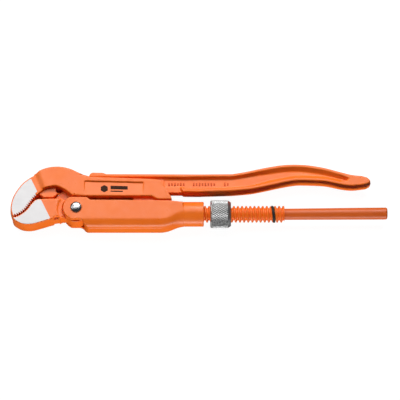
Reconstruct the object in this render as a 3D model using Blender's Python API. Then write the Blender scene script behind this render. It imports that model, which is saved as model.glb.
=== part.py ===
"""Swedish-pattern pipe wrench, 1 inch, 320 mm: eight pieces in one frame.

Lengths in the constants are millimetres.  A point is given as (x, v, z):
x along the tool from the middle of its length, v upwards from the spindle
axis, z out of the flat side from the middle plane.  place() turns that into
metres with the tool lying flat on z = 0 and centred on the origin.
"""
import bmesh
import bpy
from math import asin, cos, degrees, hypot, pi, radians, sin

for old in list(bpy.data.objects):
    bpy.data.objects.remove(old, do_unlink=True)

# --- frame -----------------------------------------------------------------
MM = 0.001
SHIFT_X = -0.176        # centres the length between jaw tip and rod end
AXIS_Y = -14.5          # spindle axis, below the middle of the width
MID_Z = 12.0            # middle plane above the table

# --- driving sizes, mm -----------------------------------------------------
PIN_X, PIN_V = -104.0, 2.0
PIN_R = 4.0
PIN_HEAD_R = 4.9
PIN_HEAD_RISE = 2.0
GAP = 0.3
JAW_HALF = 8.5          # half thickness of both jaws, ground flat
WEB_T = 13.0            # forging web in the corner under the neck
NECK_HALF = 10.6        # half thickness of the hook leg's neck
PLATE_HALF = 12.0       # half thickness over the two side plates
SLOT_HALF = 4.5         # slot between the side plates
WEB_HALF = 4.0          # lever web inside the slot
TONGUE_HALF = 6.9       # lever tongue between the sleeve lugs
BOSS_R = 11.3
FLANGE_HALF = 6.5
FLANGE_T = 2.2
PARTING = 0.45          # the forging draft makes the middle plane this much prouder
HANDLE_WEB_HALF = 3.6
CORE_HALF = 7.6
CAVITY_HALF = 8.0
CAVITY_FLOOR = -10.0
SLEEVE_BOTTOM = -14.5
SLEEVE_CORNER = 7.0
TUBE_R = 10.5
TUBE_RIGHT = 4.1
BORE_R = 7.5
SPINDLE_R = 7.1
THREAD_ROOT_R = 5.2
THREAD_PITCH = 3.5
THREAD_START, THREAD_END = 1.0, 72.5
ROD_START_R, ROD_R = 4.75, 5.1
ROD_END = 160.0
ROD_RISE = 0.7          # the round handle's end stands this far above the axis
NUT_LEFT, NUT_RIGHT, NUT_R = 9.7, 27.1, 11.9
RING_X, RING_HALF, RING_R = 63.0, 1.15, 7.3
RING_LEAN = radians(7)
TOOTH_PITCH = 1.85
TOOTH_HEIGHT = 1.1
ROUND = 32              # segments round the spindle, nut and pin


def place(x, v, z):
    return ((x + SHIFT_X) * MM, (v + AXIS_Y) * MM, (z + MID_Z) * MM)


def material(name, colour, roughness, metallic):
    mat = bpy.data.materials.new(name)
    mat.use_nodes = True
    mat.diffuse_color = (*colour, 1.0)
    shader = mat.node_tree.nodes["Principled BSDF"]
    shader.inputs["Base Color"].default_value = (*colour, 1.0)
    shader.inputs["Roughness"].default_value = roughness
    shader.inputs["Metallic"].default_value = metallic
    return mat


def finish(name, bm, mat, smooth=False):
    bmesh.ops.recalc_face_normals(bm, faces=bm.faces)
    mesh = bpy.data.meshes.new(name)
    bm.to_mesh(mesh)
    bm.free()
    obj = bpy.data.objects.new(name, mesh)
    bpy.context.scene.collection.objects.link(obj)
    if mat:
        mesh.materials.append(mat)
    if smooth:
        for face in mesh.polygons:
            face.use_smooth = True
        mesh.set_sharp_from_angle(angle=radians(35))
    return obj


def loft(name, levels, mat=None):
    """Solid through outlines of (x, v) with equal counts, given as (z, outline)."""
    bm = bmesh.new()
    rings = [[bm.verts.new(place(x, v, z)) for x, v in outline] for z, outline in levels]
    bm.faces.new(reversed(rings[0]))
    bm.faces.new(rings[-1])
    for under, over in zip(rings, rings[1:]):
        for i in range(len(under)):
            j = (i + 1) % len(under)
            bm.faces.new((under[i], under[j], over[j], over[i]))
    return finish(name, bm, mat)


def prism(name, outline, low, high, mat=None):
    """Outline in (x, v), extruded from z = low to z = high."""
    return loft(name, [(low, outline), (high, outline)], mat)


def offset_edge(points, distance):
    """Edge moved sideways, to the left of its direction; distance may be a function of x."""
    out = []
    for n, (x, v) in enumerate(points):
        a = points[max(n - 1, 0)]
        b = points[min(n + 1, len(points) - 1)]
        size = hypot(b[0] - a[0], b[1] - a[1])
        step = distance(x) if callable(distance) else distance
        out.append((x - (b[1] - a[1]) / size * step, v + (b[0] - a[0]) / size * step))
    return out


def smooth_step(t):
    t = max(0.0, min(1.0, t))
    return t * t * (3 - 2 * t)


def lathe(name, profile, mat=None, steps=ROUND, centre=None):
    """Profile of (along, radius): about the spindle, or about a z axis at centre."""
    bm = bmesh.new()
    rings = []
    for along, radius in profile:
        ring = []
        for k in range(steps):
            a = 2 * pi * k / steps
            if centre:
                p = place(centre[0] + radius * cos(a), centre[1] + radius * sin(a), along)
            else:
                p = place(along, radius * cos(a), radius * sin(a))
            ring.append(bm.verts.new(p))
        rings.append(ring)
    for a, b in zip(rings, rings[1:]):
        for k in range(steps):
            m = (k + 1) % steps
            bm.faces.new((a[k], a[m], b[m], b[k]))
    bm.faces.new(rings[0])
    bm.faces.new(reversed(rings[-1]))
    return finish(name, bm, mat, smooth=True)


def curve_through(points, steps):
    """Points of a smooth curve that passes through every given point."""
    pts = [points[0]] + list(points) + [points[-1]]
    out = []
    for i in range(1, len(pts) - 2):
        a, b, c, d = pts[i - 1], pts[i], pts[i + 1], pts[i + 2]
        for k in range(steps):
            t = k / steps
            out.append(tuple(
                0.5 * (2 * b[n] + (c[n] - a[n]) * t
                       + (2 * a[n] - 5 * b[n] + 4 * c[n] - d[n]) * t * t
                       + (3 * b[n] - a[n] - 3 * c[n] + d[n]) * t ** 3)
                for n in (0, 1)))
    out.append(tuple(points[-1]))
    return out


def arc(cx, cv, r, start, end, steps):
    return [(cx + r * cos(radians(start + (end - start) * k / steps)),
             cv + r * sin(radians(start + (end - start) * k / steps)))
            for k in range(steps + 1)]


def teeth(points):
    """Saw-tooth edge along a smooth curve."""
    path = curve_through(points, 12)
    run = [0.0]
    for a, b in zip(path, path[1:]):
        run.append(run[-1] + hypot(b[0] - a[0], b[1] - a[1]))
    count = round(run[-1] / TOOTH_PITCH)
    out = []
    for k in range(2 * count + 1):
        want = run[-1] * k / (2 * count)
        i = max(n for n in range(len(run)) if run[n] <= want + 1e-9)
        i = min(i, len(path) - 2)
        t = (want - run[i]) / (run[i + 1] - run[i])
        dx, dv = path[i + 1][0] - path[i][0], path[i + 1][1] - path[i][1]
        size = hypot(dx, dv)
        lift = TOOTH_HEIGHT / 2 * (1 if k % 2 else -1)
        if k in (0, 2 * count):
            lift = 0.0
        out.append((path[i][0] + dx * t - dv / size * lift,
                    path[i][1] + dv * t + dx / size * lift))
    return out


def bevel(obj, width, segments=1, angle=50):
    mod = obj.modifiers.new("edge", "BEVEL")
    mod.width = width * MM
    mod.segments = segments
    mod.limit_method = "ANGLE"
    mod.angle_limit = radians(angle)
    return obj


def combine(target, other, operation):
    mod = target.modifiers.new(operation.lower(), "BOOLEAN")
    mod.operation = operation
    mod.solver = "EXACT"
    mod.object = other
    other.hide_render = True
    other.display_type = "WIRE"


def thread(name, left, right, grow=0.0):
    """Right-hand thread solid between two x values, enlarged by grow."""
    n = 16
    profile = ((0.0, THREAD_ROOT_R), (0.22, THREAD_ROOT_R),
               (0.40, SPINDLE_R), (0.78, SPINDLE_R))
    bm = bmesh.new()
    first = int(left / THREAD_PITCH) - 3
    last = int(right / THREAD_PITCH) + 3
    rows = []
    for turn in range(first, last):
        for share, radius in profile:
            row = []
            for k in range(n + 1):
                a = 2 * pi * k / n
                x = THREAD_PITCH * (turn + share + k / n)
                r = radius + grow
                row.append((x, r * cos(a), r * sin(a)))
            rows.append(row)
    per = len(profile)
    verts = {}

    def vert(i, k):
        if k == n:
            i, k = i + per, 0
        if (i, k) not in verts:
            if i >= len(rows):
                return None
            x, v, z = rows[i][k]
            verts[(i, k)] = bm.verts.new(place(x, v, z))
        return verts[(i, k)]

    for i in range(len(rows) - 1):
        for k in range(n):
            ring = (vert(i, k), vert(i, k + 1), vert(i + 1, k + 1), vert(i + 1, k))
            if None not in ring:
                bm.faces.new(ring)
    for x, side in ((left, -1), (right, 1)):
        geom = bm.verts[:] + bm.edges[:] + bm.faces[:]
        bmesh.ops.bisect_plane(bm, geom=geom, plane_co=place(x, 0, 0),
                               plane_no=(side, 0, 0), clear_outer=True)
    bmesh.ops.holes_fill(bm, edges=[e for e in bm.edges if e.is_boundary], sides=0)
    return finish(name, bm, None, smooth=True)


orange = material("orange_paint", (0.95, 0.22, 0.05), 0.42, 0.0)
lever_paint = material("lever_orange_paint", (0.95, 0.22, 0.05), 0.42, 0.0)
sleeve_paint = material("sleeve_orange_paint", (0.95, 0.22, 0.05), 0.42, 0.0)
chrome = material("polished_steel", (0.62, 0.62, 0.62), 0.18, 1.0)
zinc = material("zinc_plate", (0.55, 0.55, 0.57), 0.35, 1.0)
black = material("black_rubber", (0.02, 0.02, 0.02), 0.6, 0.0)
spring_steel = material("spring_steel", (0.30, 0.31, 0.33), 0.35, 1.0)
rivet_steel = material("rivet_steel", (0.40, 0.40, 0.41), 0.4, 1.0)

# --- hook leg: jaw, neck, two side plates, core, spindle, thread, round handle
jaw_back = curve_through([(-158.0, -4.6), (-159.5, 1.5), (-159.0, 7.5), (-157.3, 13.4),
                          (-153.6, 20.0), (-149.4, 25.4), (-143.5, 30.1), (-137.6, 33.4)], 2)
jaw_teeth = teeth([(-136.4, 15.8), (-139.6, 12.5), (-142.9, 8.0), (-147.1, 1.8),
                   (-152.0, -2.4), (-157.4, -4.3)])
hook_jaw = jaw_back + [(-130.0, 30.0), (-128.5, 21.6), (-132.0, 19.2)] + jaw_teeth
hook = bevel(prism("hook_leg", hook_jaw, -JAW_HALF, JAW_HALF, orange), 0.7, 1, 60)
neck_outline = (curve_through([(-137.8, 34.2), (-134.2, 36.8), (-126.5, 39.2), (-118.0, 39.3),
                               (-109.8, 37.3), (-104.6, 34.9), (-99.6, 32.4)], 3)
                + [(-92.0, 24.0), (-96.0, 13.4), (-107.4, 13.0)]
                + curve_through([(-108.4, 13.6), (-114.2, 18.3), (-121.8, 21.9),
                                 (-130.4, 20.6)], 3))
combine(hook, bevel(prism("hook_neck", neck_outline, -NECK_HALF, NECK_HALF), 1.2, 1, 60), "UNION")

plate_outline = [(-104.0, 31.6), (-99.6, 31.9), (-92.8, 29.9), (-43.4, 28.1), (-35.3, 27.4),
                 (-32.3, 26.0), (-23.8, 12.2), (-22.8, 9.3), (-34.9, 9.3), (-40.2, 12.2),
                 (-94.5, 12.2), (-105.6, 12.9)]
plates = bevel(prism("hook_side_plates", plate_outline, -PLATE_HALF, PLATE_HALF), 0.7)
combine(hook, plates, "UNION")

slot_outline = ([(-121.0, 10.0), (-121.0, 20.5)]
                + curve_through([(-119.0, 23.2), (-112.0, 28.4), (-104.6, 31.6)], 3)
                + [(-101.0, 36.0), (-10.0, 40.0), (-10.0, 5.0), (-60.0, 5.0)])
slot = prism("hook_slot_cutter", slot_outline, -SLOT_HALF, SLOT_HALF)
combine(hook, slot, "DIFFERENCE")

for side in (-1, 1):
    panel = prism("hook_panel_cutter_%s" % ("front" if side > 0 else "back"),
                  [(-97.6, 25.6), (-46.9, 24.4), (-46.9, 15.2), (-97.6, 16.4)],
                  side * (PLATE_HALF - 0.5), side * (PLATE_HALF + 1))
    combine(hook, panel, "DIFFERENCE")

# web left by the forging in the corner under the neck
corner_web = prism("hook_corner_web", [(-135.6, 15.6), (-131.6, 12.8), (-124.2, 13.0),
                                       (-121.8, 15.0), (-121.5, 22.5), (-128.0, 22.5),
                                       (-132.0, 19.6)],
                   -WEB_T / 2, WEB_T / 2)
combine(hook, corner_web, "UNION")

core_outline = [(-56.0, 16.0), (-27.4, 16.0), (-23.2, 9.4), (-22.0, 7.6), (-22.0, -7.0),
                (-54.0, -7.0), (-56.0, -5.0)]
core = bevel(prism("hook_core", core_outline, -CORE_HALF, CORE_HALF), 0.8)
combine(hook, core, "UNION")
spindle = lathe("hook_spindle", [(-30.0, SPINDLE_R - 0.4), (-26.0, SPINDLE_R),
                                 (THREAD_START, SPINDLE_R), (THREAD_START + 1.5, THREAD_ROOT_R)])
combine(hook, spindle, "UNION")
combine(hook, thread("hook_thread", THREAD_START - 2, THREAD_END), "UNION")
rod = lathe("hook_rod", [(THREAD_END - 3, THREAD_ROOT_R - 0.6), (THREAD_END - 0.8, ROD_START_R),
                         (ROD_END - 1.5, ROD_R), (ROD_END - 0.5, ROD_R - 0.45),
                         (ROD_END, ROD_R - 1.4)])
for vert in rod.data.vertices:
    along = vert.co.x / MM - SHIFT_X
    vert.co.y += ROD_RISE * max(0.0, (along - THREAD_END) / (ROD_END - THREAD_END)) * MM
combine(hook, rod, "UNION")


def leaning_ring(name, half, outer, inner, mat=None):
    """Flat ring round the spindle, leaning with the thread."""
    bm = bmesh.new()
    profile = [(-half, inner), (-half, outer - 0.4), (-half * 0.6, outer),
               (half * 0.6, outer), (half, outer - 0.4), (half, inner)]
    rings = []
    for k in range(ROUND):
        a = 2 * pi * k / ROUND
        lean = -sin(RING_LEAN) * cos(a)
        rings.append([bm.verts.new(place(RING_X + s + r * lean, r * cos(a), r * sin(a)))
                      for s, r in profile])
    count = len(profile)
    for k in range(ROUND):
        a, b = rings[k], rings[(k + 1) % ROUND]
        for i in range(count):
            j = (i + 1) % count
            bm.faces.new((a[i], a[j], b[j], b[i]))
    return finish(name, bm, mat, smooth=True)


# the ring seat is a plain groove: everything outside the seat radius is cut away
seat = leaning_ring("ring_seat_cutter", RING_HALF + GAP, 9.0, THREAD_ROOT_R + 0.1)
combine(hook, seat, "DIFFERENCE")
ring = leaning_ring("stop_ring", RING_HALF, RING_R, THREAD_ROOT_R + 0.1 + GAP, black)

# --- lever leg: lower jaw, tongue, boss, web and I-section handle
jaw = (teeth([(-157.4, -5.9), (-152.2, -3.9), (-146.4, 1.0), (-142.2, 6.5),
              (-139.4, 9.4)])
       + [(-137.0, 10.4), (-133.0, 11.0), (-122.0, 11.2), (-115.0, 10.8)]
       + arc(PIN_X, PIN_V, 14.0, 141, 212, 8)
       + curve_through([(-118.2, -6.2), (-124.8, -7.4), (-135.0, -10.6), (-142.3, -12.4),
                        (-149.6, -11.9), (-155.4, -8.9), (-157.8, -6.4)], 2))
lever = bevel(prism("lever_leg", jaw, -JAW_HALF, JAW_HALF, lever_paint), 0.8, 1, 60)

cut = asin(8.6 / BOSS_R)
boss = ([(-122.0, 10.0), (-113.0, 10.4)]
        + arc(PIN_X, PIN_V, BOSS_R, degrees(cut), -135, 14)
        + [(-117.0, -5.2), (-122.0, -5.6)])
tongue = bevel(prism("lever_tongue", boss, -TONGUE_HALF, TONGUE_HALF), 0.5, 1, 60)
combine(lever, tongue, "UNION")

web = prism("lever_web", [(-123.5, 9.0)]
            + curve_through([(-121.9, 13.2), (-120.4, 15.0), (-118.2, 17.4), (-115.4, 19.8),
                             (-110.6, 22.8), (-100.6, 28.6), (-92.6, 32.6)], 2)
            + [(-12.0, 32.6), (-12.0, 18.2), (-86.0, 18.2), (-90.0, 16.2), (-91.0, 12.0),
               (-93.4, 4.0), (-104.0, 4.0)], -WEB_HALF, WEB_HALF)
combine(lever, web, "UNION")

top_edge = curve_through([(28.0, 34.3), (40.0, 36.4), (51.9, 39.1), (64.7, 41.6), (72.0, 42.6),
                          (79.0, 43.0), (86.0, 42.9), (94.5, 42.2), (107.2, 39.9),
                          (120.0, 36.3), (130.2, 33.6), (138.7, 32.7)], 2)
low_edge = curve_through([(137.5, 24.3), (130.0, 23.6), (121.0, 24.6), (108.0, 27.4),
                          (94.5, 28.2), (84.0, 28.3), (75.0, 27.0), (64.7, 24.8), (53.6, 22.2),
                          (43.0, 20.2), (28.0, 18.8)], 2)
tip = curve_through([(142.9, 31.4), (145.3, 29.2), (145.5, 27.0), (142.0, 24.9)], 2)
beam_outline = ([(-93.6, 31.6), (-93.2, 34.0), (-91.4, 35.8), (-82.0, 35.6), (-79.0, 34.4),
                 (0.0, 34.1)] + top_edge + tip + low_edge
                + [(0.0, 17.9), (-13.6, 18.0), (-15.4, 20.6), (-15.4, 31.2)])
beam_middle = offset_edge(beam_outline, PARTING)
beam = bevel(loft("lever_beam", [(-FLANGE_HALF, beam_outline), (0.0, beam_middle),
                                 (FLANGE_HALF, beam_outline)]), 0.9, 1, 30)
combine(lever, beam, "UNION")


def wall_slope(x):
    """Width of the sloping inner wall of a flange; it grows along the handle."""
    return 1.6 + 1.7 * smooth_step((x - 35.0) / 30.0)


def pocket(share):
    """Recess outline between the flanges: share is 0 at the rim and 1 at the web."""
    top = [(-30.0, 31.8)] + [p for p in [(0.0, 34.1)] + top_edge if p[0] < 122]
    low = [p for p in low_edge if p[0] < 119] + [(0.0, 17.9)]

    def inset(x):
        return -FLANGE_T - share * wall_slope(x)

    edge = offset_edge(top[1:], inset)
    back_edge = offset_edge(low, inset)
    return ([(-30.0, 31.4 - share * 1.6)] + edge
            + [(128.0 - share * 2.5, 30.6 - share * 0.6), (127.0 - share * 2.5, 28.2)]
            + back_edge
            + [(-12.6 + share, 20.1 + share * 1.6), (-14.0 + share, 21.6 + share * 1.6),
               (-30.0, 21.6 + share * 1.6)])


for side in (-1, 1):
    levels = [(side * HANDLE_WEB_HALF, pocket(1)), (side * FLANGE_HALF, pocket(0)),
              (side * (FLANGE_HALF + 2), pocket(-0.1))]
    hollow = loft("lever_pocket_cutter_%s" % ("front" if side > 0 else "back"), levels)
    combine(lever, hollow, "DIFFERENCE")
pin_hole = lathe("lever_pin_hole_cutter", [(-20, PIN_R + GAP), (20, PIN_R + GAP)],
                 centre=(PIN_X, PIN_V), steps=24)
combine(lever, pin_hole, "DIFFERENCE")

# --- slide sleeve: U housing with lugs, blending into a tube


def rounded_section(x, half, top, low, top_r, low_r):
    """Closed ring of (x, v, z) points: a rectangle with rounded corners."""
    k = 6
    ring = []
    for cz, cv, r, start in ((half - top_r, top - top_r, top_r, 0),
                             (-(half - top_r), top - top_r, top_r, 90),
                             (-(half - low_r), low + low_r, low_r, 180),
                             (half - low_r, low + low_r, low_r, 270)):
        for n in range(k + 1):
            a = radians(start + 90 * n / k)
            ring.append((x, cv + r * sin(a), cz + r * cos(a)))
    return ring


HOUSING_END = -13.4


def sleeve_sections():
    """Box with a flat bottom whose corners grow until it meets the tube."""
    yield rounded_section(-118.0, PLATE_HALF, 13.0, SLEEVE_BOTTOM, 0.6, SLEEVE_CORNER)
    steps = 6
    for n in range(steps + 1):
        x = -33.0 + n / steps * (HOUSING_END + 33.0)
        rise = smooth_step(n / steps)
        turn = smooth_step((x + 27.0) / (HOUSING_END + 27.0))
        yield rounded_section(x, PLATE_HALF + turn * (TUBE_R + GAP - PLATE_HALF), 13.0,
                              SLEEVE_BOTTOM - rise * (TUBE_R + GAP + SLEEVE_BOTTOM), 0.6,
                              SLEEVE_CORNER + turn * (TUBE_R + 0.2 - SLEEVE_CORNER))


bm = bmesh.new()
rings = [[bm.verts.new(place(*p)) for p in ring] for ring in sleeve_sections()]
for a, b in zip(rings, rings[1:]):
    for k in range(len(a)):
        m = (k + 1) % len(a)
        bm.faces.new((a[k], a[m], b[m], b[k]))
bm.faces.new(rings[0])
bm.faces.new(reversed(rings[-1]))
sleeve = finish("slide_sleeve", bm, sleeve_paint, smooth=True)

side_view = ([(-109.8, 11.3), (-95.0, 11.3), (-92.2, 8.9), (-24.0, 8.3), (-18.6, 7.9),
              (-8.0, 7.2), (-8.0, -17.0), (-94.0, -17.0)]
             + curve_through([(-94.2, -14.4), (-96.4, -12.2), (-98.4, -9.4), (-101.2, -8.2)], 2)
             + [(-108.5, -8.2)] + arc(PIN_X, PIN_V, 11.0, 246, 122, 9)[1:])
combine(sleeve, prism("sleeve_side_view", side_view, -14, 14), "INTERSECT")
tube = lathe("sleeve_tube", [(-26.0, TUBE_R - 3.0), (-19.0, TUBE_R - 2.2), (-16.0, TUBE_R),
                             (TUBE_RIGHT - 0.5, TUBE_R), (TUBE_RIGHT, TUBE_R - 0.5)])
combine(sleeve, tube, "UNION")
cavity = prism("sleeve_cavity_cutter", [(-122.0, 20.0), (-20.8, 20.0), (-20.8, CAVITY_FLOOR),
                                        (-122.0, CAVITY_FLOOR)], -CAVITY_HALF, CAVITY_HALF)
combine(sleeve, cavity, "DIFFERENCE")
combine(sleeve, lathe("sleeve_bore_cutter", [(-30.0, BORE_R), (10.0, BORE_R)]), "DIFFERENCE")
combine(sleeve, lathe("sleeve_pin_hole_cutter", [(-20, PIN_R + GAP), (20, PIN_R + GAP)],
                      centre=(PIN_X, PIN_V), steps=24), "DIFFERENCE")

# --- rivet through lugs and boss: domed head in front, flush at the back
dome = [(PLATE_HALF + GAP + PIN_HEAD_RISE * sin(radians(a)), PIN_HEAD_R * cos(radians(a)))
        for a in (0, 22, 44, 66, 84)]
rivet = lathe("pivot_rivet", [(-PLATE_HALF + 0.1, PIN_R - 0.4), (-PLATE_HALF + 0.5, PIN_R),
                              (PLATE_HALF + GAP, PIN_R)] + dome, chrome,
              centre=(PIN_X, PIN_V), steps=24)

# --- friction spring on the sleeve floor, its end against the round boss
SPRING_T = 0.8
SPRING_FLOOR = CAVITY_FLOOR + 0.3
RIVET_X = -72.0
under = [(-62.0, SPRING_FLOOR), (-90.4, SPRING_FLOOR), (-92.6, -9.0), (-94.2, -7.2)]
spring = prism("leaf_spring", under + [(-93.6, -6.6), (-92.1, -8.2),
                                       (-90.2, SPRING_FLOOR + SPRING_T),
                                       (-62.0, SPRING_FLOOR + SPRING_T)], -4.0, 4.0, spring_steel)


def post(name, low, high, radius, mat=None):
    """Upright round solid along v at the spring rivet."""
    bm = bmesh.new()
    ends = []
    for v in (low, high):
        ends.append([bm.verts.new(place(RIVET_X + radius * cos(2 * pi * k / 16), v,
                                        radius * sin(2 * pi * k / 16))) for k in range(16)])
    bm.faces.new(ends[0])
    bm.faces.new(reversed(ends[1]))
    for k in range(16):
        m = (k + 1) % 16
        bm.faces.new((ends[0][k], ends[0][m], ends[1][m], ends[1][k]))
    return finish(name, bm, mat)


combine(spring, post("spring_hole_cutter", -12.0, -5.0, 1.8), "DIFFERENCE")
stud = post("spring_rivet", -12.5, -8.2, 1.5, rivet_steel)
combine(stud, post("spring_rivet_head", SPRING_FLOOR + SPRING_T + 0.3, -7.6, 2.8), "UNION")
combine(sleeve, post("sleeve_rivet_hole_cutter", -12.8, -8.0, 1.8), "DIFFERENCE")

# --- adjusting nut: chamfered drum with a matching internal thread
nut = lathe("adjusting_nut", [(NUT_LEFT, NUT_R - 1.3), (NUT_LEFT + 1.3, NUT_R),
                              (NUT_RIGHT - 1.3, NUT_R), (NUT_RIGHT, NUT_R - 1.3)], zinc)
combine(nut, thread("nut_thread_cutter", NUT_LEFT - 3, NUT_RIGHT + 3, GAP), "DIFFERENCE")


def put_origin(obj, point):
    """Move the object's origin to a point without moving its mesh."""
    target = place(*point)
    for vert in obj.data.vertices:
        vert.co = [a - b for a, b in zip(vert.co, target)]
    obj.location = target


put_origin(lever, (PIN_X, PIN_V, 0.0))
put_origin(rivet, (PIN_X, PIN_V, 0.0))
put_origin(nut, ((NUT_LEFT + NUT_RIGHT) / 2, 0.0, 0.0))
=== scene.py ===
from math import asin, cos, degrees, floor, hypot, pi, radians, sin

import bmesh
import bpy
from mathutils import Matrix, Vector


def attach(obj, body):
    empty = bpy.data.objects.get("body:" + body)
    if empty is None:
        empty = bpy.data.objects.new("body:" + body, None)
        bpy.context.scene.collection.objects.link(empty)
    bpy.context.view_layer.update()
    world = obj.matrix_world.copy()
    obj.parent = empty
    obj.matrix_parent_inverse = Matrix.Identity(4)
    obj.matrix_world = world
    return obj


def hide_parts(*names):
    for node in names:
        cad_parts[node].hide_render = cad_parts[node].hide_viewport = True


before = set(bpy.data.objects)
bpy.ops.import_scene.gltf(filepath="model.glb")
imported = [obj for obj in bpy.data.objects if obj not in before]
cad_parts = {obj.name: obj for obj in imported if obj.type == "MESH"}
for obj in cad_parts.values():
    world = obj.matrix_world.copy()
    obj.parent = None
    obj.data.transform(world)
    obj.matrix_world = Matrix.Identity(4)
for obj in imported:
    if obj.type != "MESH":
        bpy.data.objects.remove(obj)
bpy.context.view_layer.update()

# Lengths are millimetres until place() turns them into metres.  A point is (x, v, z):
# x along the tool, v upwards from the spindle axis, z from the middle plane.
MM = 0.001
SHIFT_X, AXIS_Y, MID_Z = -0.176, -14.5, 12.0

PIN_X, PIN_V, PIN_R = -104.0, 2.0, 4.0
JAW_HALF, NECK_HALF, PLATE_HALF = 8.5, 10.6, 12.0
SLOT_HALF, WEB_HALF, TONGUE_HALF, CORE_HALF = 4.5, 4.0, 6.9, 7.6
CORNER_WEB_HALF = 6.5
FLANGE_HALF, FLANGE_T, HANDLE_WEB_HALF = 6.5, 2.2, 3.6
PARTING = 0.6
BOSS_R = 11.3
CAVITY_HALF, CAVITY_FLOOR = 8.0, -10.0
SLEEVE_BOTTOM, SLEEVE_CORNER = -14.5, 7.0
TUBE_R, TUBE_RIGHT, BORE_R, HOUSING_END = 10.5, 4.1, 7.5, -13.4
SPINDLE_R, ROOT_R, PITCH = 7.1, 5.2, 3.5
THREAD_START, THREAD_END = 1.0, 72.5
ROD_START_R, ROD_R, ROD_END, ROD_RISE = 4.75, 5.1, 160.0, 0.7
NUT_LEFT, NUT_RIGHT, NUT_R = 9.7, 27.1, 11.9
RING_X, RING_HALF, RING_R, RING_LEAN = 63.0, 1.15, 7.3, radians(7)
TOOTH_PITCH, TOOTH_HEIGHT, LEVER_TOOTH_HEIGHT = 2.0, 2.2, 0.5
KNURL_AROUND, KNURL_CELL, KNURL_DEPTH = 43, 2.9, 0.7
RIB_STEP, RIB_V = 2.5, 25.9
VOXEL, KEEP = 0.42, 0.4   # remesh size, and the share of triangles kept after it


def place(x, v, z):
    return Vector(((x + SHIFT_X) * MM, (v + AXIS_Y) * MM, (z + MID_Z) * MM))


# --------------------------------------------------------------------- mesh helpers
def as_object(name, bm, sharp=None):
    bmesh.ops.recalc_face_normals(bm, faces=bm.faces)
    mesh = bpy.data.meshes.new(name)
    bm.to_mesh(mesh)
    bm.free()
    obj = bpy.data.objects.new(name, mesh)
    bpy.context.scene.collection.objects.link(obj)
    for face in mesh.polygons:
        face.use_smooth = sharp is not None
    if sharp is not None:
        mesh.set_sharp_from_angle(angle=radians(sharp))
    return obj


def curve_through(points, steps):
    pts = [points[0]] + list(points) + [points[-1]]
    out = []
    for i in range(1, len(pts) - 2):
        a, b, c, d = pts[i - 1], pts[i], pts[i + 1], pts[i + 2]
        for k in range(steps):
            t = k / steps
            out.append(tuple(
                0.5 * (2 * b[n] + (c[n] - a[n]) * t
                       + (2 * a[n] - 5 * b[n] + 4 * c[n] - d[n]) * t * t
                       + (3 * b[n] - a[n] - 3 * c[n] + d[n]) * t ** 3)
                for n in (0, 1)))
    out.append(tuple(points[-1]))
    return out


def arc(cx, cv, r, start, end, steps):
    return [(cx + r * cos(radians(start + (end - start) * k / steps)),
             cv + r * sin(radians(start + (end - start) * k / steps)))
            for k in range(steps + 1)]


def smooth_step(t):
    t = max(0.0, min(1.0, t))
    return t * t * (3 - 2 * t)


def offset_edge(points, distance):
    """Edge moved sideways, to the left of its direction; distance may be a function of x."""
    out = []
    for n, (x, v) in enumerate(points):
        a = points[max(n - 1, 0)]
        b = points[min(n + 1, len(points) - 1)]
        size = hypot(b[0] - a[0], b[1] - a[1])
        step = distance(x) if callable(distance) else distance
        out.append((x - (b[1] - a[1]) / size * step, v + (b[0] - a[0]) / size * step))
    return out


def teeth(points, height, pitch=TOOTH_PITCH):
    """Saw-tooth edge along a smooth curve."""
    path = curve_through(points, 12)
    run = [0.0]
    for a, b in zip(path, path[1:]):
        run.append(run[-1] + hypot(b[0] - a[0], b[1] - a[1]))
    count = round(run[-1] / pitch)
    out = []
    for k in range(2 * count + 1):
        want = run[-1] * k / (2 * count)
        i = min(max(n for n in range(len(run)) if run[n] <= want + 1e-9), len(path) - 2)
        t = (want - run[i]) / (run[i + 1] - run[i])
        dx, dv = path[i + 1][0] - path[i][0], path[i + 1][1] - path[i][1]
        size = hypot(dx, dv)
        lift = 0.0 if k in (0, 2 * count) else height / 2 * (1 if k % 2 else -1)
        out.append((path[i][0] + dx * t - dv / size * lift,
                    path[i][1] + dv * t + dx / size * lift))
    return out


def loft(name, levels, width=0.0, segments=3, angle=40):
    """Solid through outlines of (x, v) with equal counts, given as (z, outline)."""
    bm = bmesh.new()
    rings = [[bm.verts.new(place(x, v, z)) for x, v in outline] for z, outline in levels]
    bm.faces.new(reversed(rings[0]))
    bm.faces.new(rings[-1])
    for under, over in zip(rings, rings[1:]):
        for i in range(len(under)):
            j = (i + 1) % len(under)
            bm.faces.new((under[i], under[j], over[j], over[i]))
    obj = as_object(name, bm)
    if width:
        mod = obj.modifiers.new("edge", "BEVEL")
        mod.width = width * MM
        mod.segments = segments
        mod.limit_method = "ANGLE"
        mod.angle_limit = radians(angle)
    return obj


def prism(name, outline, low, high, width=0.0, segments=3):
    """Outline in (x, v), extruded from z = low to z = high."""
    return loft(name, [(low, outline), (high, outline)], width, segments)


def forged(name, outline, middle, half, width, angle=40):
    """Extrusion whose sides stand proud in the middle plane, as forging draft leaves them."""
    return loft(name, [(-half, outline), (0.0, middle), (half, outline)], width, 3, angle)


def lathe(name, profile, steps=64, centre=None, sharp=35):
    """Profile of (along, radius) about the spindle, or about a z axis at centre."""
    bm = bmesh.new()
    rings = []
    for along, radius in profile:
        ring = []
        for k in range(steps):
            a = 2 * pi * k / steps
            if centre:
                p = place(centre[0] + radius * cos(a), centre[1] + radius * sin(a), along)
            else:
                p = place(along, radius * cos(a), radius * sin(a))
            ring.append(bm.verts.new(p))
        rings.append(ring)
    for a, b in zip(rings, rings[1:]):
        for k in range(steps):
            m = (k + 1) % steps
            bm.faces.new((a[k], a[m], b[m], b[k]))
    bm.faces.new(rings[0])
    bm.faces.new(reversed(rings[-1]))
    return as_object(name, bm, sharp)


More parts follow.
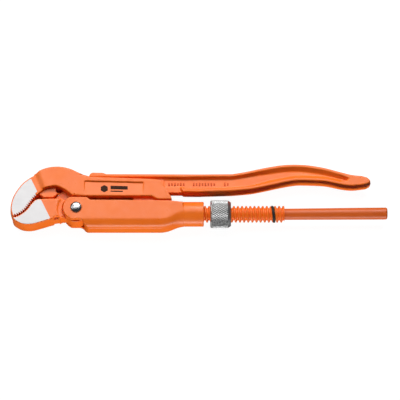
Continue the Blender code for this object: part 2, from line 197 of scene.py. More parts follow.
def evaluated(obj):
    """The object's mesh with its modifiers, put in place of its own."""
    bpy.context.view_layer.update()
    graph = bpy.context.evaluated_depsgraph_get()
    mesh = bpy.data.meshes.new_from_object(obj.evaluated_get(graph))
    obj.modifiers.clear()
    obj.data = mesh
    return obj


def carve(base, *steps):
    """Booleans in order; the tools are removed once they have been used."""
    for tool, operation in steps:
        mod = base.modifiers.new(operation.lower(), "BOOLEAN")
        mod.operation = operation
        mod.solver = "EXACT"
        mod.object = tool
    evaluated(base)
    for tool, operation in steps:
        bpy.data.objects.remove(tool)
    return base


def weld(obj):
    """Join the sliver points that a Boolean leaves along a cut."""
    bm = bmesh.new()
    bm.from_mesh(obj.data)
    bmesh.ops.remove_doubles(bm, verts=bm.verts, dist=0.003 * MM)
    bmesh.ops.dissolve_degenerate(bm, dist=0.002 * MM, edges=bm.edges)
    bm.to_mesh(obj.data)
    bm.free()


def forge(obj, voxel, rounds, crisp, keep):
    """Remesh and soften a solid as forging and paint do; crisp(x, v, z) in 0..1 protects."""
    mod = obj.modifiers.new("remesh", "REMESH")
    mod.mode = "VOXEL"
    mod.voxel_size = voxel * MM
    evaluated(obj)
    soft = obj.modifiers.new("soften", "SMOOTH")
    soft.factor = 0.5
    soft.iterations = rounds
    if crisp:
        group = obj.vertex_groups.new(name="soft")
        for vert in obj.data.vertices:
            x, y, z = (vert.co[n] / MM for n in range(3))
            weight = 1 - crisp(x - SHIFT_X, y - AXIS_Y, z - MID_Z)
            group.add((vert.index,), max(0.0, min(1.0, weight)), "REPLACE")
        soft.vertex_group = "soft"
    thin = obj.modifiers.new("thin", "DECIMATE")
    thin.ratio = keep
    evaluated(obj)
    for face in obj.data.polygons:
        face.use_smooth = True
    return obj


def dress(obj, mat, body, slot, *nodes):
    obj.data.materials.clear()
    obj.data.materials.append(mat)
    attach(obj, body)
    if nodes:
        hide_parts(*nodes)
    return obj


# ------------------------------------------------------------------------ materials
def new_material(name):
    mat = bpy.data.materials.new(name)
    mat.use_nodes = True
    tree = mat.node_tree
    return mat, tree, tree.nodes["Principled BSDF"]


def noise(tree, scale, detail=3.0, stretch=None, roughness=0.5):
    coords = tree.nodes.new("ShaderNodeTexCoord")
    node = tree.nodes.new("ShaderNodeTexNoise")
    node.inputs["Scale"].default_value = scale
    node.inputs["Detail"].default_value = detail
    node.inputs["Roughness"].default_value = roughness
    source = coords.outputs["Object"]
    if stretch:
        mapping = tree.nodes.new("ShaderNodeMapping")
        mapping.inputs["Scale"].default_value = stretch[:3]
        mapping.inputs["Rotation"].default_value = (0, 0, stretch[3])
        tree.links.new(source, mapping.inputs["Vector"])
        source = mapping.outputs["Vector"]
    tree.links.new(source, node.inputs["Vector"])
    return node.outputs["Fac"]


def spread(tree, source, low, high, to_low, to_high):
    node = tree.nodes.new("ShaderNodeMapRange")
    for name, value in (("From Min", low), ("From Max", high), ("To Min", to_low),
                        ("To Max", to_high)):
        node.inputs[name].default_value = value
    tree.links.new(source, node.inputs["Value"])
    return node.outputs["Result"]


def blend_colour(tree, factor, first, second):
    node = tree.nodes.new("ShaderNodeMix")
    node.data_type = "RGBA"
    tree.links.new(factor, node.inputs[0])
    for socket, colour in ((node.inputs[6], first), (node.inputs[7], second)):
        if isinstance(colour, tuple):
            socket.default_value = (*colour, 1.0)
        else:
            tree.links.new(colour, socket)
    return node.outputs[2]


def add_bump(tree, shader, heights):
    """heights: (source, strength, distance in mm), each laid over the last."""
    last = None
    for source, strength, distance in heights:
        node = tree.nodes.new("ShaderNodeBump")
        node.inputs["Strength"].default_value = strength
        node.inputs["Distance"].default_value = distance * MM
        tree.links.new(source, node.inputs["Height"])
        if last:
            tree.links.new(last, node.inputs["Normal"])
        last = node.outputs["Normal"]
    tree.links.new(last, shader.inputs["Normal"])


def paint(name, light, deep, rough=0.33, peel=0.20, gloss=0.38):
    """Powder coat: soft mottling, painted highlight on the edges, painted shade in the hollows,
    faint orange peel.
    """
    mat, tree, shader = new_material(name)
    mottle = spread(tree, noise(tree, 45, 4), 0.35, 0.65, 0, 1)
    colour = blend_colour(tree, mottle, light, deep)
    geometry = tree.nodes.new("ShaderNodeNewGeometry")
    # painted highlight: thin is a lighter orange that the sharp edges are mixed towards
    edge = spread(tree, geometry.outputs["Pointiness"], 0.52, 0.62, 0, 0.45)
    thin = tuple(min(1.0, c * 1.12 + 0.03) for c in light)
    colour = blend_colour(tree, edge, colour, thin)
    # painted shade: hollows and creases are mixed towards a dark orange
    corner_shade = spread(tree, geometry.outputs["Pointiness"], 0.38, 0.485, 0.9, 0)
    colour = blend_colour(tree, corner_shade, colour, tuple(c * 0.4 for c in deep))
    tree.links.new(colour, shader.inputs["Base Color"])
    tree.links.new(spread(tree, noise(tree, 160, 3), 0.3, 0.7, rough - 0.06, rough + 0.1),
                   shader.inputs["Roughness"])
    shader.inputs["Specular IOR Level"].default_value = gloss
    add_bump(tree, shader, ((noise(tree, 700, 2), peel, 0.08),
                            (noise(tree, 120, 2), peel * 0.8, 0.12)))
    return mat


def metal(name, light, deep, rough, lines=None, grain=0.15, metallic=1.0, mottle=60, gloss=0.5,
          corner_shade=1.0):
    """Bare or plated metal; the corners of its relief are darkened as painted shade, set by its
    last argument.
    """
    mat, tree, shader = new_material(name)
    factor = spread(tree, noise(tree, mottle, 5), 0.3, 0.7, 0, 1)
    colour = blend_colour(tree, factor, light, deep)
    geometry = tree.nodes.new("ShaderNodeNewGeometry")
    # painted shade: corners of the relief are mixed towards a darker grey
    corner = spread(tree, geometry.outputs["Pointiness"], 0.38, 0.49, 1, 0)
    colour = blend_colour(tree, corner, colour, tuple(c * corner_shade for c in deep))
    tree.links.new(colour, shader.inputs["Base Color"])
    shader.inputs["Metallic"].default_value = metallic
    shader.inputs["Specular IOR Level"].default_value = gloss
    streaks = noise(tree, 1, 3, lines) if lines else noise(tree, 500, 3)
    tree.links.new(spread(tree, streaks, 0.3, 0.7, rough - 0.05, rough + 0.06),
                   shader.inputs["Roughness"])
    add_bump(tree, shader, ((streaks, grain, 0.05), (noise(tree, 300, 2), 0.1, 0.05)))
    return mat


ORANGE, ORANGE_DEEP = (0.92, 0.178, 0.015), (0.89, 0.162, 0.012)
hook_paint = paint("hook_paint", ORANGE, ORANGE_DEEP)
lever_paint = paint("lever_paint", ORANGE, ORANGE_DEEP)
sleeve_paint = paint("sleeve_paint", ORANGE, ORANGE_DEEP)
# rod paint: a darker copy of the orange, partly the rod's own browner tone and partly painted
# shade for the dark band along its middle
rod_paint = paint("rod_paint", (0.66, 0.112, 0.010), (0.62, 0.102, 0.009), 0.40, 0.03, 0.4)
rib_paint = paint("rib_paint", (0.66, 0.095, 0.008), (0.58, 0.080, 0.007), 0.4, 0.1, 0.2)
ground = metal("ground_steel", (0.60, 0.59, 0.59), (0.56, 0.55, 0.555), 0.45,
               (90, 2600, 90, radians(35)), 0.2, 0.25, 90)
# the nut's knurl valleys get strong painted shade
zinc = metal("zinc_plate", (0.53, 0.53, 0.525), (0.43, 0.43, 0.43), 0.38, None, 0.05, corner_shade=0.12)
chrome = metal("polished_steel", (0.42, 0.42, 0.43), (0.38, 0.38, 0.39), 0.27, None, 0.02)
spring_steel = metal("spring_steel", (0.30, 0.31, 0.34), (0.22, 0.23, 0.26), 0.35, None, 0.1)
rivet_steel = metal("rivet_steel", (0.48, 0.48, 0.49), (0.40, 0.40, 0.41), 0.4, None, 0.15)
rubber = metal("black_rubber", (0.020, 0.018, 0.018), (0.035, 0.030, 0.028), 0.5, None, 0.2, 0.0,
               gloss=0.25)
ink = metal("dark_ink", (0.040, 0.016, 0.008), (0.055, 0.024, 0.014), 0.6, None, 0.1, 0.0,
            gloss=0.05)

# ------------------------------------------------------------------------- hook leg
jaw_back = curve_through([(-158.0, -4.6), (-159.5, 1.5), (-159.0, 7.5), (-157.3, 13.4),
                          (-153.6, 20.0), (-149.4, 25.4), (-143.5, 30.1), (-137.6, 33.4)], 6)
hook_teeth_line = [(-136.4, 15.8), (-139.6, 12.5), (-142.9, 8.0), (-147.1, 1.8),
                   (-152.0, -2.4), (-157.4, -4.3)]
hook_teeth = teeth([(x - 0.1, v + 0.1) for x, v in hook_teeth_line], TOOTH_HEIGHT)
neck_top = curve_through([(-137.8, 34.2), (-134.2, 36.8), (-126.5, 39.2), (-118.0, 39.3),
                          (-109.8, 37.3), (-104.6, 34.9), (-99.6, 32.4)], 6)
neck_rest = ([(-92.0, 24.0), (-96.0, 13.4), (-107.4, 13.0)]
             + curve_through([(-108.4, 13.6), (-114.2, 18.3), (-121.8, 21.9),
                              (-130.4, 20.6)], 6))
# web in the corner under the neck; it ends just clear of the lever's web
corner_web = [(-135.6, 15.6), (-131.6, 12.8), (-124.0, 13.0), (-120.9, 15.3), (-119.3, 16.9),
              (-120.6, 17.3), (-121.6, 18.6), (-121.6, 22.5), (-128.0, 22.5), (-132.0, 19.6)]


def neck_outline(top_start, low_end, proud=0.0):
    """Side view of the neck; its left side leans between the jaw and full thickness."""
    top = [top_start] + neck_top[2:]
    return offset_edge(top, proud) + neck_rest[:-1] + [low_end]


def neck_at(share, proud=0.0):
    """Outline on the slope: share is 0 at the jaw's side and 1 at the neck's."""
    return neck_outline((-140.6 + 5.2 * share, 32.8 + 2.7 * share),
                        (-135.2 + 5.4 * share, 19.4 + 1.4 * share), proud)


slope = [(JAW_HALF - 0.3 + (NECK_HALF - JAW_HALF + 0.3) * smooth_step(n / 6), neck_at(n / 6))
         for n in range(7)]
neck_levels = [(-z, outline) for z, outline in reversed(slope)]
neck_levels += [(0.0, neck_at(0, PARTING))] + slope
plate_outline = [(-104.0, 31.6), (-99.6, 31.9), (-92.8, 29.9), (-43.4, 28.1), (-35.3, 27.4),
                 (-32.3, 26.0), (-23.8, 12.2), (-22.8, 9.3), (-34.9, 9.3), (-40.2, 12.2),
                 (-94.5, 12.2), (-105.6, 12.9)]
slot_outline = ([(-121.0, 10.0), (-121.0, 20.5)]
                + curve_through([(-119.0, 23.2), (-112.0, 28.4), (-104.6, 31.6)], 4)
                + [(-101.0, 36.0), (-10.0, 40.0), (-10.0, 5.0), (-60.0, 5.0)])
PANEL_LEFT, PANEL_RIGHT, PANEL_LOW, PANEL_DEPTH = -97.2, -47.0, 13.5, 1.2


def panel_top(x):
    return 26.0 + (x - PANEL_LEFT) / (PANEL_RIGHT - PANEL_LEFT) * -1.3


def panel_depth(v, x):
    """The recess is deepest along its top edge and fades out below."""
    return PANEL_DEPTH * (v - PANEL_LOW) / (panel_top(x) - PANEL_LOW)


def panel_wedge(name, side):
    bm = bmesh.new()
    corners = []
    for x in (PANEL_LEFT, PANEL_RIGHT):
        top = panel_top(x)
        for v, z in ((top, PLATE_HALF - PANEL_DEPTH), (top, PLATE_HALF + 2),
                     (PANEL_LOW - 3, PLATE_HALF + 2),
                     (PANEL_LOW, PLATE_HALF + 0.02)):
            corners.append(bm.verts.new(place(x, v, side * z)))
    for quad in ((0, 1, 2, 3), (7, 6, 5, 4), (0, 4, 5, 1), (1, 5, 6, 2), (2, 6, 7, 3),
                 (3, 7, 4, 0)):
        bm.faces.new([corners[n] for n in quad])
    return as_object(name, bm)


def near_teeth(line, reach):
    """1 on a tooth edge, falling to 0 at reach millimetres from it."""
    path = curve_through(line, 6)

    def weight(x, v, z):
        if x > -132 or x < -160:
            return 0.0
        away = min(hypot(x - a, v - b) for a, b in path)
        return 0.85 * max(0.0, min(1.0, (reach - away) / (reach - 1.2)))
    return weight


hook_inner = [(-130.0, 30.0), (-128.5, 21.6), (-132.0, 19.2)] + hook_teeth
hook = forged("hook_forging", jaw_back + hook_inner,
              offset_edge(jaw_back, PARTING) + hook_inner, JAW_HALF - 0.1, 0.8)
core_outline = [(-56.0, 16.0), (-27.4, 16.0), (-23.2, 9.4), (-22.0, 7.6), (-22.0, -7.0),
                (-54.0, -7.0), (-56.0, -5.0)]
carve(hook,
      (loft("neck", neck_levels, 1.0, 3, 50), "UNION"),
      (prism("plates", plate_outline, -PLATE_HALF, PLATE_HALF, 0.7), "UNION"),
      (prism("slot", slot_outline, -SLOT_HALF, SLOT_HALF), "DIFFERENCE"),
      (prism("corner_web", corner_web, -CORNER_WEB_HALF, CORNER_WEB_HALF), "UNION"),
      (panel_wedge("panel_front", 1), "DIFFERENCE"),
      (panel_wedge("panel_back", -1), "DIFFERENCE"),
      (prism("core", core_outline, -CORE_HALF, CORE_HALF, 0.8), "UNION"),
      (lathe("journal", [(-30.0, SPINDLE_R - 0.4), (-26.0, SPINDLE_R),
                         (THREAD_START, SPINDLE_R), (THREAD_START + 1.2, ROOT_R)]), "UNION"))
forge(hook, VOXEL, 6, near_teeth(hook_teeth_line, 2.6), KEEP)

# the neck thickens smoothly into the side plates
for vert in hook.data.vertices:
    x, v, z = (vert.co[n] / MM - shift for n, shift in enumerate((SHIFT_X, AXIS_Y, MID_Z)))
    beside_plate = x < -101.5 and v > 14.5
    if x < -90 and abs(z) > 8.7 and (abs(z) < NECK_HALF + 0.15 or beside_plate):
        share = (abs(z) - 8.7) / (NECK_HALF - 8.7)
        growth = share * (PLATE_HALF - NECK_HALF) * smooth_step((x + 128.0) / 18.0)
        target = min(PLATE_HALF, abs(z) + growth)
        vert.co.z = (MID_Z + (target if z > 0 else -target)) * MM
dress(hook, hook_paint, "hook", "hook_paint", "hook_leg")

jaw_rim = offset_edge([p for p in jaw_back if p[0] < -144.5 and p[1] > -2.0], -0.95)
hook_face = (jaw_rim + [(-143.6, 29.0), (-142.7, 28.7), (-142.2, 27.9), (-137.2, 17.4)]
             + [(x - 0.35, v + 0.35) for x, v in hook_teeth if -157.0 < x < -136.6])


def ground_faces(name, outline, body):
    for side, word in ((1, "front"), (-1, "back")):
        plate = prism("%s_%s" % (name, word), outline, side * (JAW_HALF - 0.5),
                      side * (JAW_HALF + 0.03), 0.06, 1)
        evaluated(plate)
        dress(plate, ground, body, "polished_steel")


ground_faces("hook_jaw_ground", hook_face, "hook")


# generic printed mark on the front panel: a hexagon and two bars
def mark(name, outline):
    raised = prism(name, outline, -0.3, 0.08)
    for vert in raised.data.vertices:
        x, v = vert.co.x / MM - SHIFT_X, vert.co.y / MM - AXIS_Y
        vert.co.z += (PLATE_HALF - panel_depth(v, x)) * MM
    return dress(raised, ink, "hook", "black_rubber")


mark("mark_bar_long", [(-75.0, 18.4), (-60.5, 18.0), (-60.5, 21.3), (-75.0, 21.7)])
mark("mark_bar_short", [(-75.0, 16.0), (-64.5, 15.8), (-64.5, 16.9), (-75.0, 17.1)])
mark("mark_hexagon", arc(-80.3, 18.9, 3.4, 90, 450, 6)[:-1])


# thread and round handle
def screw(name, left, right):
    steps = 48
    shares = [n / 12 for n in range(12)]
    bm = bmesh.new()
    first, last = int(left / PITCH) - 3, int(right / PITCH) + 3
    rows = []
    for turn in range(first, last):
        for share in shares:
            lift = max(0.0, min(1.0, 0.5 - 0.72 * cos(2 * pi * (share + 0.09))))
            lift = smooth_step(lift) * 0.5 + lift * 0.5
            rows.append((PITCH * (turn + share), ROOT_R + (SPINDLE_R - ROOT_R) * lift))
    verts = {}

    def vert(i, k):
        if k == steps:
            i, k = i + len(shares), 0
        if i >= len(rows):
            return None
        if (i, k) not in verts:
            a = 2 * pi * k / steps
            x, r = rows[i]
            verts[(i, k)] = bm.verts.new(place(x + PITCH * k / steps, r * cos(a), r * sin(a)))
        return verts[(i, k)]

    for i in range(len(rows) - 1):
        for k in range(steps):
            ring = (vert(i, k), vert(i, k + 1), vert(i + 1, k + 1), vert(i + 1, k))
            if None not in ring:
                bm.faces.new(ring)
    for x, side in ((left, -1), (right, 1)):
        geom = bm.verts[:] + bm.edges[:] + bm.faces[:]
        bmesh.ops.bisect_plane(bm, geom=geom, plane_co=place(x, 0, 0), plane_no=(side, 0, 0),
                               clear_outer=True)
    bmesh.ops.holes_fill(bm, edges=[e for e in bm.edges if e.is_boundary], sides=0)
    return as_object(name, bm, 60)


def leaning_ring(name, profile, steps=64):
    """Closed profile of (along, radius) turned round the spindle, leaning with the thread."""
    bm = bmesh.new()
    rings = []
    for k in range(steps):
        a = 2 * pi * k / steps
        lean = -sin(RING_LEAN) * cos(a)
        rings.append([bm.verts.new(place(RING_X + s + r * lean, r * cos(a), r * sin(a)))
                      for s, r in profile])
    for k in range(steps):
        a, b = rings[k], rings[(k + 1) % steps]
        for i in range(len(profile)):
            j = (i + 1) % len(profile)
            bm.faces.new((a[i], a[j], b[j], b[i]))
    return as_object(name, bm, 50)


thread = screw("spindle_thread", THREAD_START - 0.4, THREAD_END)
seat_half = RING_HALF + 0.25
carve(thread, (leaning_ring("seat", [(-seat_half, 5.35), (-seat_half, 9.0), (seat_half, 9.0),
                                     (seat_half, 5.35)]), "DIFFERENCE"))
weld(thread)
dress(thread, hook_paint, "hook", "hook_paint", "hook_leg")
rod = lathe("round_handle",
            [(THREAD_END - 3, ROOT_R - 0.6), (THREAD_END - 0.9, ROD_START_R - 0.05),
             (THREAD_END, ROD_START_R), (ROD_END - 1.6, ROD_R)]
            + [(ROD_END - 1.6 + 1.6 * sin(radians(a)), ROD_R - 1.6 * (1 - cos(radians(a))))
               for a in (15, 30, 45, 60, 75, 90)]
            + [(ROD_END, 1.5)], 64)
for vert in rod.data.vertices:
    along = (vert.co.x / MM - SHIFT_X - THREAD_END) / (ROD_END - THREAD_END)
    vert.co.y += ROD_RISE * max(0.0, along) * MM
dress(rod, rod_paint, "hook", "hook_paint", "hook_leg")
ring_profile = [(RING_HALF * cos(radians(a)) * 0.98,
                 (RING_R + 5.62) / 2 + (RING_R - 5.62) / 2 * sin(radians(a)))
                for a in range(0, 360, 30)]
dress(leaning_ring("black_stop_ring", ring_profile), rubber, "hook", "black_rubber", "stop_ring")

# ------------------------------------------------------------------------ lever leg
lever_teeth_line = [(-157.4, -5.9), (-152.2, -3.9), (-146.3, 0.8), (-142.2, 6.4),
                    (-139.4, 9.4)]
jaw_low = curve_through([(-118.2, -6.2), (-124.8, -7.4), (-135.0, -10.6), (-142.3, -12.4),
                         (-149.6, -11.9), (-155.4, -8.9), (-157.8, -6.4)], 6)
lever_teeth = teeth(lever_teeth_line, LEVER_TOOTH_HEIGHT)
jaw_upper = (lever_teeth + curve_through([(-138.6, 10.0), (-136.4, 10.8), (-132.0, 11.1)], 3)
             + [(-122.0, 11.2), (-115.0, 10.8)] + arc(PIN_X, PIN_V, 12.1, 141, 212, 16))
lever = forged("lever_forging", jaw_upper + jaw_low, jaw_upper + offset_edge(jaw_low, PARTING),
               JAW_HALF - 0.1, 0.8)
# the shoulder beside the lugs: a cove, a shallow groove round the lug and a small notch
coves = [lathe("cove", [(side * z, r) for z, r in ((7.4, 14.4), (7.7, 15.6), (8.3, 16.5),
                                                   (9.0, 16.9), (12.0, 17.0))],
               72, (PIN_X, PIN_V)) for side in (-1, 1)]
lug_groove = arc(PIN_X, PIN_V, 12.1, 118, 244, 24) + arc(PIN_X, PIN_V, 10.9, 244, 118, 24)
grooves = [prism("lug_groove", lug_groove, side * 4.6, side * 9) for side in (-1, 1)]
notches = [prism("notch", arc(-120.6, -7.0, 2.5, 0, 360, 16)[:-1], side * 5.0, side * 9)
           for side in (-1, 1)]
cut = asin(8.6 / BOSS_R)
tongue = ([(-122.0, 10.0), (-113.0, 10.4)] + arc(PIN_X, PIN_V, BOSS_R, degrees(cut), -135, 36)
          + [(-117.0, -5.2), (-122.0, -5.6)])
web = ([(-123.5, 9.0)]
       + curve_through([(-121.9, 13.2), (-120.4, 14.8), (-118.0, 17.0), (-115.2, 19.4),
                        (-110.6, 22.8), (-100.6, 28.7), (-92.6, 32.6)], 4)
       + [(-12.0, 32.6), (-12.0, 18.2), (-86.0, 18.2), (-90.0, 16.2), (-91.0, 12.0),
          (-93.4, 4.0), (-104.0, 4.0)])
top_edge = curve_through([(28.0, 34.3), (40.0, 36.4), (51.9, 39.1), (64.7, 41.6), (72.0, 42.6),
                          (79.0, 43.0), (86.0, 42.9), (94.5, 42.2), (107.2, 39.9),
                          (120.0, 36.3), (130.2, 33.6), (138.7, 32.7)], 5)
low_edge = curve_through([(137.5, 24.3), (130.0, 23.6), (121.0, 24.6), (108.0, 27.4),
                          (94.5, 28.2), (84.0, 28.3), (75.0, 27.0), (64.7, 24.8), (53.6, 22.2),
                          (43.0, 20.2), (28.0, 18.8)], 5)
tip = curve_through([(142.9, 31.4), (145.3, 29.2), (145.5, 27.0), (142.0, 24.9)], 4)
beam = ([(-93.6, 31.6), (-93.2, 34.0), (-91.4, 35.8), (-82.0, 35.6), (-79.0, 34.4),
         (0.0, 34.1)] + top_edge + tip + low_edge
        + [(0.0, 17.9), (-13.6, 18.0), (-15.4, 20.6), (-15.4, 31.2)])


def wall_slope(x):
    """Width of the sloping inner wall of a flange; it grows along the handle."""
    return 1.6 + 1.7 * smooth_step((x - 35.0) / 30.0)


def pocket(share):
    """Recess outline between the flanges: share is 0 at the rim and 1 at the web."""
    def inset(x):
        return -FLANGE_T - share * wall_slope(x)

    top = [(0.0, 34.1)] + [p for p in top_edge if p[0] < 122]
    low = [p for p in low_edge if p[0] < 119] + [(0.0, 17.9)]
    return ([(-30.0, 31.4 - share * 1.6)] + offset_edge(top, inset)
            + [(128.0 - share * 2.5, 30.6 - share * 0.6), (127.0 - share * 2.5, 28.2)]
            + offset_edge(low, inset)
            + [(-12.6 + share, 20.1 + share * 1.6), (-14.0 + share, 21.6 + share * 1.6),
               (-30.0, 21.6 + share * 1.6)])


def pocket_cutter(name, side):
    return loft(name, [(side * HANDLE_WEB_HALF, pocket(1)), (side * FLANGE_HALF, pocket(0)),
                       (side * (FLANGE_HALF + 2), pocket(-0.1))])


carve(lever,
      (coves[0], "DIFFERENCE"),
      (coves[1], "DIFFERENCE"),
      (prism("tongue", tongue, -TONGUE_HALF, TONGUE_HALF, 0.7), "UNION"),
      (grooves[0], "DIFFERENCE"),
      (grooves[1], "DIFFERENCE"),
      (notches[0], "DIFFERENCE"),
      (notches[1], "DIFFERENCE"),
      (prism("web", web, -WEB_HALF, WEB_HALF), "UNION"),
      (forged("beam", beam, offset_edge(beam, PARTING), FLANGE_HALF, 0.9, 30), "UNION"),
      (pocket_cutter("pocket_front", 1), "DIFFERENCE"),
      (pocket_cutter("pocket_back", -1), "DIFFERENCE"),
      (lathe("hole", [(-20, PIN_R + 0.3), (20, PIN_R + 0.3)], 48, (PIN_X, PIN_V)), "DIFFERENCE"))
forge(lever, VOXEL, 4, near_teeth(lever_teeth_line, 2.6), KEEP)
dress(lever, lever_paint, "lever", "lever_paint", "lever_leg")
lever_face = (offset_edge([p for p in lever_teeth if p[0] > -157.0], -0.7)
              + curve_through([(-138.4, 9.4), (-136.6, 10.1), (-134.6, 10.2), (-133.6, 9.4)], 3)
              + [(-125.9, -6.4), (-126.6, -7.2)]
              + offset_edge([p for p in jaw_low if p[0] < -127.5], -0.75))
ground_faces("lever_jaw_ground", lever_face, "lever")

# raised ribs on the web, in place of lettering
ribs = bmesh.new()
for start, count in ((-25.5, 6), (-4.5, 8), (22.0, 2)):
    for n in range(count):
        x = start + RIB_STEP * n
        tall = 3.4 if n % 2 == 0 else 2.6
        foot, head = 1.4, 1.0
        base = [ribs.verts.new(place(x + dx * foot / 2, RIB_V + dv * tall / 2,
                                     HANDLE_WEB_HALF - 0.2))
                for dx, dv in ((-1, -1), (1, -1), (1, 1), (-1, 1))]
        crown = [ribs.verts.new(place(x + dx * head / 2, RIB_V + dv * (tall - 0.5) / 2,
                                      HANDLE_WEB_HALF + 0.6))
                 for dx, dv in ((-1, -1), (1, -1), (1, 1), (-1, 1))]
        ribs.faces.new(reversed(base))
        ribs.faces.new(crown)
        for k in range(4):
            m = (k + 1) % 4
            ribs.faces.new((base[k], base[m], crown[m], crown[k]))
ribs = as_object("web_ribs", ribs)
edge = ribs.modifiers.new("edge", "BEVEL")
edge.width, edge.segments = 0.18 * MM, 2
evaluated(ribs)
for face in ribs.data.polygons:
    face.use_smooth = True
dress(ribs, rib_paint, "lever", "lever_paint")

# ----------------------------------------------------------------------- slide sleeve


def section(x, half, top, low, top_r, low_r):
    k = 12
    ring = []
    for cz, cv, r, start in ((half - top_r, top - top_r, top_r, 0),
                             (-(half - top_r), top - top_r, top_r, 90),
                             (-(half - low_r), low + low_r, low_r, 180),
                             (half - low_r, low + low_r, low_r, 270)):
        for n in range(k + 1):
            a = radians(start + 90 * n / k)
            ring.append((x, cv + r * sin(a), cz + r * cos(a)))
    return ring


sections = [section(-118.0, PLATE_HALF, 13.0, SLEEVE_BOTTOM, 0.6, SLEEVE_CORNER)]
for n in range(25):
    t = n / 24
    s = smooth_step(t)
    x = -33.0 + t * (HOUSING_END + 33.0)
    u = smooth_step((x + 27.0) / (HOUSING_END + 27.0))
    sections.append(section(x, PLATE_HALF + u * (TUBE_R + 0.3 - PLATE_HALF), 13.0,
                            SLEEVE_BOTTOM - s * (TUBE_R + 0.3 + SLEEVE_BOTTOM), 0.6,
                            SLEEVE_CORNER + u * (TUBE_R + 0.2 - SLEEVE_CORNER)))
bm = bmesh.new()
rings = [[bm.verts.new(place(*p)) for p in ring] for ring in sections]
for a, b in zip(rings, rings[1:]):
    for k in range(len(a)):
        m = (k + 1) % len(a)
        bm.faces.new((a[k], a[m], b[m], b[k]))
bm.faces.new(rings[0])
bm.faces.new(reversed(rings[-1]))
sleeve = as_object("sleeve_housing", bm)
side_view = ([(-109.8, 11.3), (-95.0, 11.3), (-92.2, 8.9), (-24.0, 8.3), (-18.6, 7.9),
              (-8.0, 7.2), (-8.0, -17.0), (-94.0, -17.0)]
             + curve_through([(-94.2, -14.4), (-96.4, -12.2), (-98.4, -9.4), (-101.2, -8.2)], 5)
             + [(-108.5, -8.2)] + arc(PIN_X, PIN_V, 11.0, 246, 122, 30)[1:])


def crease(name, z):
    """Shallow groove where the flat bottom meets the rounded corner."""
    low = SLEEVE_BOTTOM - 1.0
    run = [(-93.0, low), (-29.0, low), (-29.0, SLEEVE_BOTTOM + 0.7),
           (-93.0, SLEEVE_BOTTOM + 0.7)]
    return prism(name, run, z - 0.5, z + 0.5)


cavity = [(-122.0, 20.0), (-20.8, 20.0), (-20.8, CAVITY_FLOOR), (-122.0, CAVITY_FLOOR)]
carve(sleeve,
      (prism("side_view", side_view, -14, 14), "INTERSECT"),
      (lathe("tube", [(-26.0, TUBE_R - 3.0), (-19.0, TUBE_R - 2.2), (-16.0, TUBE_R),
                      (TUBE_RIGHT - 0.4, TUBE_R), (TUBE_RIGHT, TUBE_R - 0.4)], 96), "UNION"),
      (crease("crease_front", 4.7), "DIFFERENCE"),
      (crease("crease_back", -4.7), "DIFFERENCE"),
      (prism("cavity", cavity, -CAVITY_HALF, CAVITY_HALF), "DIFFERENCE"),
      (lathe("bore", [(-30.0, BORE_R), (10.0, BORE_R)], 96), "DIFFERENCE"),
      (lathe("hole", [(-20, PIN_R + 0.3), (20, PIN_R + 0.3)], 48, (PIN_X, PIN_V)), "DIFFERENCE"))
forge(sleeve, VOXEL, 4, None, KEEP)
dress(sleeve, sleeve_paint, "sleeve", "sleeve_paint", "slide_sleeve")

# ------------------------------------------------------------------- rivet, nut, inside
dome = [(PLATE_HALF + 0.2 + 2.0 * sin(radians(a)), 4.85 * cos(radians(a)))
        for a in (0, 8, 16, 24, 32, 40, 48, 56, 64, 72, 80, 86)]
rivet = lathe("domed_rivet", [(-PLATE_HALF + 0.1, PIN_R - 0.5), (-PLATE_HALF + 0.3, PIN_R - 0.1),
                              (-PLATE_HALF + 0.7, PIN_R), (PLATE_HALF + 0.05, PIN_R),
                              (PLATE_HALF + 0.05, 4.6)] + dome, 72, (PIN_X, PIN_V))
dress(rivet, chrome, "sleeve", "polished_steel", "pivot_rivet")


def knurled_nut(name):
    """Drum with a pyramid knurl between turned chamfers and a plain bore behind it."""
    per = 6
    left, right = NUT_LEFT + 1.0, NUT_RIGHT - 2.6
    diamonds = (right - left) / KNURL_CELL
    steps = KNURL_AROUND * per
    rows = [(NUT_RIGHT - 0.6, 7.42, 0), (NUT_LEFT + 0.6, 7.42, 0), (NUT_LEFT, 8.0, 0),
            (NUT_LEFT, NUT_R - 1.1, 0), (NUT_LEFT + 0.15, NUT_R - 0.9, 0),
            (NUT_LEFT + 0.75, NUT_R - 0.2, 0), (left - 0.05, NUT_R - 0.15, 0)]
    count = round(diamonds * 8)
    for n in range(count + 1):
        rows.append((left + (right - left) * n / count, NUT_R, diamonds * n / count))
    rows += [(right + 0.05, NUT_R - 0.25, 0), (NUT_RIGHT - 0.2, NUT_R - 1.7, 0),
             (NUT_RIGHT, NUT_R - 2.0, 0), (NUT_RIGHT, 8.0, 0)]
    bm = bmesh.new()
    rings = []
    for n, (x, radius, w) in enumerate(rows):
        ring = []
        knurled = radius == NUT_R
        for k in range(steps):
            u = k / per
            r = radius
            if knurled:
                rise = min(1 - abs(2 * (t - floor(t)) - 1) for t in (u + w, u - w))
                r = radius - KNURL_DEPTH * (1 - rise)
            a = 2 * pi * k / steps
            ring.append(bm.verts.new(place(x, r * cos(a), r * sin(a))))
        rings.append(ring)
    for n in range(len(rings)):
        a, b = rings[n], rings[(n + 1) % len(rings)]
        for k in range(steps):
            m = (k + 1) % steps
            bm.faces.new((a[k], a[m], b[m], b[k]))
    return as_object(name, bm, 25)


dress(knurled_nut("knurled_nut"), zinc, "nut", "zinc_plate", "adjusting_nut")
for node, mat in (("leaf_spring", spring_steel), ("spring_rivet", rivet_steel)):
    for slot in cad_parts[node].material_slots:
        slot.material = mat

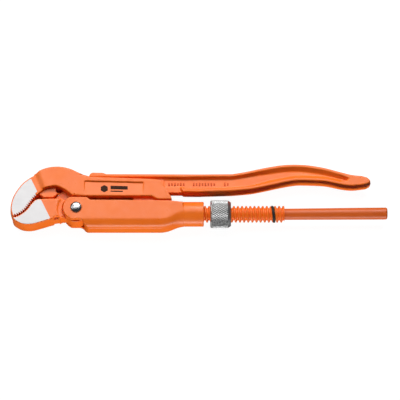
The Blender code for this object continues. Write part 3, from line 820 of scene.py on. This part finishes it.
# ---------------------------------------------------------------------------- stage
bm = bmesh.new()
bmesh.ops.create_grid(bm, x_segments=2, y_segments=2, size=3.0)
floor_plane = as_object("floor", bm)
floor_mat, tree, shader = new_material("pale_floor")
tree.links.new(blend_colour(tree, spread(tree, noise(tree, 6, 2), 0.3, 0.7, 0, 1),
                            (0.10, 0.10, 0.10), (0.09, 0.09, 0.09)), shader.inputs["Base Color"])
shader.inputs["Roughness"].default_value = 0.9
shader.inputs["Emission Color"].default_value = (1, 1, 1, 1)
shader.inputs["Emission Strength"].default_value = 0.97
floor_plane.data.materials.append(floor_mat)
floor_plane.visible_diffuse = False
floor_plane.visible_glossy = False
floor_plane.visible_shadow = False

# a white board just under the floor gives the light that comes back from below
bm = bmesh.new()
bmesh.ops.create_grid(bm, x_segments=2, y_segments=2, size=1.5)
board = as_object("white_board", bm)
board.location.z = -0.001
board_mat, tree, shader = new_material("white_board")
shader.inputs["Base Color"].default_value = (0.15, 0.15, 0.15, 1)
shader.inputs["Roughness"].default_value = 0.9
board.data.materials.append(board_mat)
board.visible_camera = False
board.visible_shadow = False


def area_light(name, location, target, width, height, power):
    data = bpy.data.lights.new(name, "AREA")
    data.shape = "RECTANGLE"
    data.size, data.size_y = width, height
    data.energy = power
    light = bpy.data.objects.new(name, data)
    bpy.context.scene.collection.objects.link(light)
    light.location = location
    away = Vector(location) - Vector(target)
    light.rotation_euler = away.to_track_quat("Z", "Y").to_euler()
    return light


area_light("top_box", (-0.05, 0.40, 1.08), (0, 0, 0.01), 1.1, 0.35, 5.2)
area_light("back_box", (0, 0.85, 0.85), (0, 0, 0.01), 1.3, 0.3, 13.5)
area_light("left_fill", (-1.0, 0.25, 0.75), (-0.1, 0, 0.01), 0.5, 0.5, 2)
area_light("low_front", (0.05, -1.15, -0.24), (0, 0, 0.01), 1.8, 0.2, 19)
world = bpy.data.worlds.new("studio")
bpy.context.scene.world = world
world.use_nodes = True
world.node_tree.nodes["Background"].inputs["Color"].default_value = (1, 1, 1, 1)
world.node_tree.nodes["Background"].inputs["Strength"].default_value = 0.04
bpy.context.scene.view_settings.view_transform = "Standard"

camera_data = bpy.data.cameras.new("camera")
camera = bpy.data.objects.new("camera", camera_data)
bpy.context.scene.collection.objects.link(camera)
bpy.context.scene.camera = camera
TILT, DISTANCE, FRAME_WIDTH = radians(69), 2.4, 0.3404
camera_data.sensor_width = 36
camera_data.lens = 36 * DISTANCE / FRAME_WIDTH
camera_data.clip_start, camera_data.clip_end = 0.1, 20
back = Vector((0, -cos(TILT), sin(TILT)))
aim = Vector((0.0007, -0.0015, 0.012))
camera.location = aim + back * DISTANCE
camera.rotation_mode = "QUATERNION"
camera.rotation_quaternion = back.to_track_quat("Z", "Y")
